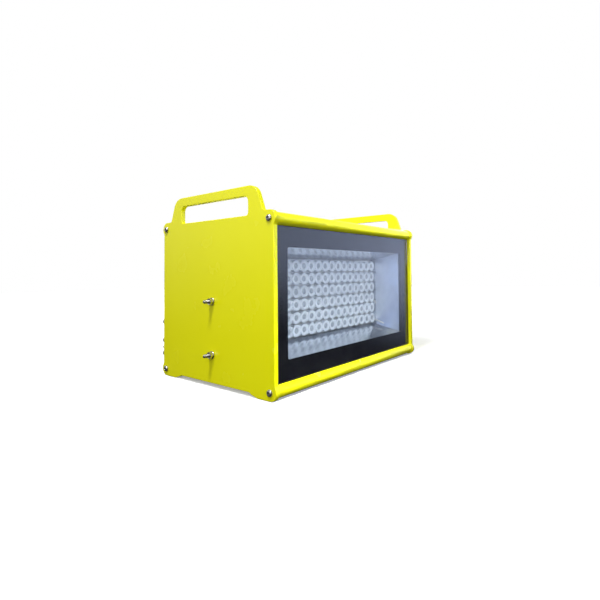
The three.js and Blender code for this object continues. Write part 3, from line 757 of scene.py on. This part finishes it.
def front_glass():
    """The glass with ground edges, and the border on its rear face as a separate thin skin."""
    soften("front_glass", GLASS, width=0.6, steps=2)
    low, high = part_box("front_glass")
    rear = (high.y - HOUSING_Y) / MM
    outer = (high.x / MM, (high.z - low.z) / 2 / MM, OUTER_CORNER)
    window = (WINDOW_HALF_X, WINDOW_HALF_Z, WINDOW_CORNER)
    front, back = rear + INK_FRONT, rear + INK_BACK
    mesh = Mesh()
    section = ((outer, front), (outer, back), (window, back), (window, front))
    rings = [mesh.ring(rounded_rectangle(*outline, y)) for outline, y in section]
    for a, b in zip(rings, rings[1:] + rings[:1]):
        mesh.bridge(a, b)
    finish_piece(mesh.build("glass_border", [BORDER]))


# ---------------------------------------------------------------- light source
LED_COLUMNS = 16
LED_PITCH = 21.1
LED_ROWS = 6
LENS_BASE_DEPTH = 1.6
LENS_BASE_INSET = 0.3
WEB_HALF_X, WEB_HALF_Z = 3.2, 7.5
WEB_FROM_FRONT, WEB_FROM_REAR = 1.4, 2.0


def abutting(radius):
    """A lens radius cut flat where the next lens of the row begins."""
    gap = 0.02
    return lambda angle: min(radius, (LED_PITCH / 2 - gap) / max(abs(math.cos(angle)), 0.1))


def lens_profile(top):
    """Side, frosted rim and dished middle of a lens of this height, and where in the list the dish begins."""
    side = [(9.7, -0.4), (9.9, 0.6), (abutting(10.6), top - 3.2), (abutting(10.8), top - 0.9)]
    rim = [(abutting(10.65), top - 0.35), (10.2, top - 0.05), (9.4, top), (7.8, top - 0.12), (6.3, top - 0.4),
           (5.3, top - 0.9)]
    dish = [(4.9, top - 1.4), (4.5, top - 1.8), (3.9, top - 2.0), (3.0, top - 1.9), (2.0, top - 1.7),
            (1.0, top - 1.6), (0.25, top - 1.55)]
    return side + rim + dish, len(side + rim)


def lens_row(number):
    """One row of collimator lenses on a common base, with a web across each joint between two lenses."""
    node = f"lens_bar_{number}"
    low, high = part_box(node)
    centre = middle(node)
    inset = LENS_BASE_INSET * MM
    seat = high.y - LENS_BASE_DEPTH * MM
    profile, dished = lens_profile((high.y - low.y) / MM - LENS_BASE_DEPTH)
    mesh = Mesh()
    mesh.box((low.x + inset, seat, low.z + inset), (high.x - inset, high.y, high.z - inset), 2)
    for column in range(LED_COLUMNS):
        x = (column - (LED_COLUMNS - 1) / 2) * LED_PITCH * MM
        place = facing(Vector((x, seat, centre.z)), (0, -1, 0))
        mesh.turned(profile, place, 40, slot_of=lambda i: 1 if i >= dished else 0)
        if column > 0:
            web = x - LED_PITCH / 2 * MM
            near = (web - WEB_HALF_X * MM, low.y + WEB_FROM_FRONT * MM, centre.z - WEB_HALF_Z * MM)
            far = (web + WEB_HALF_X * MM, high.y - WEB_FROM_REAR * MM, centre.z + WEB_HALF_Z * MM)
            mesh.box(near, far)
    finish_piece(mesh.build(node + "_shape", [LENS_RIM, LENS_CORE, LENS_BASE]), [node])


def tube(name, points, radius, material):
    """A thin wire along a smooth line through the points."""
    curve = bpy.data.curves.new(name, "CURVE")
    curve.dimensions = "3D"
    curve.bevel_depth = radius * MM
    curve.bevel_resolution = 3
    spline = curve.splines.new("BEZIER")
    spline.bezier_points.add(len(points) - 1)
    for point, place in zip(spline.bezier_points, points):
        point.co = place
        point.handle_left_type = point.handle_right_type = "AUTO"
    curve.resolution_u = 10
    curve.use_fill_caps = True
    drawing = bpy.data.objects.new(name + "_line", curve)
    bpy.context.scene.collection.objects.link(drawing)
    bpy.context.view_layer.update()
    data = bpy.data.meshes.new_from_object(drawing.evaluated_get(bpy.context.evaluated_depsgraph_get()))
    bpy.data.objects.remove(drawing)
    data.materials.clear()
    data.materials.append(material)
    shade(data, 60)
    thing = bpy.data.objects.new(name, data)
    bpy.context.scene.collection.objects.link(thing)
    return finish_piece(thing)


SEAM_FRONT = (184.6, -119.8, 86.1)
SEAM_REAR = (171.0, -58.6, 69.6)
BEAD_RADIUS = 1.0
BEAD_TIP_RADIUS = 0.9
BEAD_TIP_LENGTH = 1

JUMPER_RADIUS = 0.9
JUMPER_ROUTES = (
    ((164, -58.6, -17), (169.5, -63, -19), (170, -71, -22.5), (167, -73, -26)),
    ((166, -58.6, -60), (170, -64, -61), (173, -76, -64.5), (175, -88, -69)),
)


def corner_beads():
    """Black sealant beads in the four corners behind the reflector walls, so no light shows between them."""
    x_front, y_front, z_front = SEAM_FRONT
    x_rear, y_rear, z_rear = SEAM_REAR
    mesh = Mesh()
    for end in SIDES.values():
        for up in LEVELS.values():
            front = at(end * x_front, y_front, up * z_front)
            rear = at(end * x_rear, y_rear, up * z_rear)
            length = (rear - front).length / MM
            profile = [(BEAD_TIP_RADIUS, 0), (BEAD_RADIUS, BEAD_TIP_LENGTH),
                       (BEAD_RADIUS, length - BEAD_TIP_LENGTH), (BEAD_TIP_RADIUS, length)]
            mesh.turned(profile, facing(front, rear - front), 12)
    finish_piece(mesh.build("reflector_seams", [RUBBER]))


def row_wires():
    """Short white jumpers at the right ends of the LED rows."""
    for number, route in enumerate(JUMPER_ROUTES, start=1):
        points = [at(*place) for place in route]
        tube(f"row_jumper_{number}", points, JUMPER_RADIUS, WHITE_NYLON)


def light_source():
    for number in range(1, LED_ROWS + 1):
        lens_row(number)
        nodes[f"led_strip_{number}"].data.materials[0] = WHITE_BOARD
    for node in ("led_carrier", "heat_sink", "driver_1", "driver_2"):
        soften(node, RAW_ALUMINIUM, width=0.4, steps=1)
    soften("control_board", GREEN_BOARD, width=0.3, steps=1)
    soften("terminal_block", TERMINAL, width=0.5, steps=2)


# ---------------------------------------------------------------- housing
def housing():
    for end in SIDES:
        plate(end + "_end_plate", axis=0, bevel=0.9, material=PAINT)
        soften("reflector_" + end, MIRROR, width=0.25, steps=1)
    for level in LEVELS:
        for depth in DEPTHS:
            soften(f"{level}_{depth}_rail", PAINT, width=0.5, steps=2, angle=35)
        soften(level + "_panel", PAINT, width=0.6, steps=2)
        soften("reflector_" + level, MIRROR, width=0.25, steps=1)
    soften("rear_cover", PAINT, width=0.6, steps=2, angle=45)
    soften("glass_gasket", RUBBER, width=0.4, steps=2)
    soften("rear_seal", RUBBER, width=0.5, steps=2)


# ---------------------------------------------------------------- studio
def softbox(name, offset, size, power, tint=(1, 1, 1), target=at(0, 0, 0)):
    """A rectangular light that the camera does not see, aimed at the target from an offset."""
    light = bpy.data.lights.new(name, "AREA")
    light.shape = "RECTANGLE"
    light.size, light.size_y = size
    light.energy = power
    light.color = tint
    lamp = bpy.data.objects.new(name, light)
    lamp.location = target + Vector(offset)
    lamp.rotation_mode = "QUATERNION"
    lamp.rotation_quaternion = (-Vector(offset)).to_track_quat("-Z", "Y")
    lamp.visible_camera = False
    bpy.context.scene.collection.objects.link(lamp)
    return lamp


FLOOR_RADIUS = 4
FLOOR_DROP = 0.0005
GLOW_START, GLOW_END = 0.4, 2.2
GLOW_NEAR, GLOW_FAR = 0.3, 0.95


def studio_floor():
    """A pale round floor under the feet, which the lamp neither reflects nor is lit by.

    It glows, more with distance, so that it goes over into the white around it and still takes a shadow.
    """
    s = Surface("studio_floor", Roughness=0.9, Specular_IOR_Level=0.1)
    s.feed("Base Color", s.blend(s.noise(3, 3), colour(0.9, 0.9, 0.9), colour(0.94, 0.94, 0.94)))
    s.feed("Emission Color", colour(1, 1, 1))
    distance = s.add("ShaderNodeVectorMath", {"operation": "LENGTH"}, Vector=s.place).outputs["Value"]
    s.feed("Emission Strength", s.ramp(distance, GLOW_START, GLOW_END, GLOW_NEAR, GLOW_FAR))
    work = bmesh.new()
    bmesh.ops.create_circle(work, cap_ends=True, segments=96, radius=FLOOR_RADIUS)
    data = bpy.data.meshes.new("floor")
    work.to_mesh(data)
    work.free()
    data.materials.append(s.material)
    floor = bpy.data.objects.new("floor", data)
    floor.location = (0, 0, cad_low.z - FLOOR_DROP)
    floor.visible_glossy = False
    floor.visible_diffuse = False
    floor.visible_transmission = False
    bpy.context.scene.collection.objects.link(floor)


LOW_DARK = colour(0.03, 0.03, 0.04)
PALE_BLUE = colour(0.85, 0.98, 1.4)
HIGH_GREY = colour(0.25, 0.26, 0.28)
SLANT = 0.35


def studio_world():
    """White where the camera looks past the lamp, and a darker studio for what lights the lamp.

    In front of the lamp that studio is dark below and has a pale blue band above. The band's lower edge rises
    towards -X, and it fades to grey overhead. Behind the lamp is a grey wall, dark below and dimmer overhead.
    """
    world = bpy.data.worlds.new("studio")
    bpy.context.scene.world = world
    world.use_nodes = True
    room = Nodes(world.node_tree)
    direction = room.add("ShaderNodeTexCoord").outputs["Generated"]
    way = room.add("ShaderNodeSeparateXYZ", Vector=direction).outputs
    slanted = room.maths("MULTIPLY_ADD", way["X"], SLANT, way["Z"])
    band = room.blend(room.ramp(way["Z"], 0.2, 0.5), PALE_BLUE, HIGH_GREY)
    ahead = room.blend(room.ramp(slanted, 0.1, 0.34, smooth=True), LOW_DARK, band)
    rise = room.ramp(way["Z"], -0.15, 0.22, 0.06, 0.75, smooth=True)
    dimming = room.ramp(way["Z"], 0.35, 0.6, 1.0, 0.3)
    wall = room.maths("MULTIPLY", rise, dimming)
    around = room.blend(room.ramp(way["Y"], -0.35, 0.0, smooth=True), ahead, wall)
    studio = room.tree.nodes["Background"]
    room.connect(around, studio.inputs["Color"])
    white = room.add("ShaderNodeBackground", Color=colour(1, 1, 1), Strength=1.0)
    camera_ray = room.add("ShaderNodeLightPath").outputs["Is Camera Ray"]
    seen = room.choose(camera_ray, studio.outputs[0], white.outputs[0])
    room.connect(seen, room.tree.nodes["World Output"].inputs["Surface"])


def lights():
    """A small key high on the left, four broad fills round the lamp, and a narrow beam on the front glass."""
    softbox("key_light", Vector((-0.5, -0.15, 0.853)) * 1.7, (0.35, 0.35), 22)
    softbox("left_fill", (-1.3, -0.55, 0.5), (0.9, 0.9), 6.2)
    softbox("rear_fill", (0.5, 1.6, 0.7), (1.0, 1.0), 8)
    softbox("right_fill", (1.7, 0.2, 0.5), (0.8, 0.8), 6)
    bluish = (0.92, 0.96, 1.0)
    fill = softbox("front_fill", (-0.6, -1.65, 0.45), (0.8, 0.8), 6.5, bluish)
    fill.visible_glossy = False
    steep = math.radians(58)
    way = Vector((0.15, -math.cos(steep), math.sin(steep))).normalized()
    distance = 1.1
    window = at(0, -125, 0)
    beam = softbox("front_light", way * distance, (0.5, 0.12), 0.7, target=window)
    beam.data.spread = math.radians(14)


bpy.context.scene.view_settings.view_transform = "Standard"
make_camera()
housing()
front_glass()
end_fasteners()
panel_screws()
cover_screws()
for gland_number in (1, 2, 3):
    gland(gland_number)
earth_stud()
vent_plug()
light_source()
corner_beads()
row_wires()
studio_floor()
studio_world()
lights()
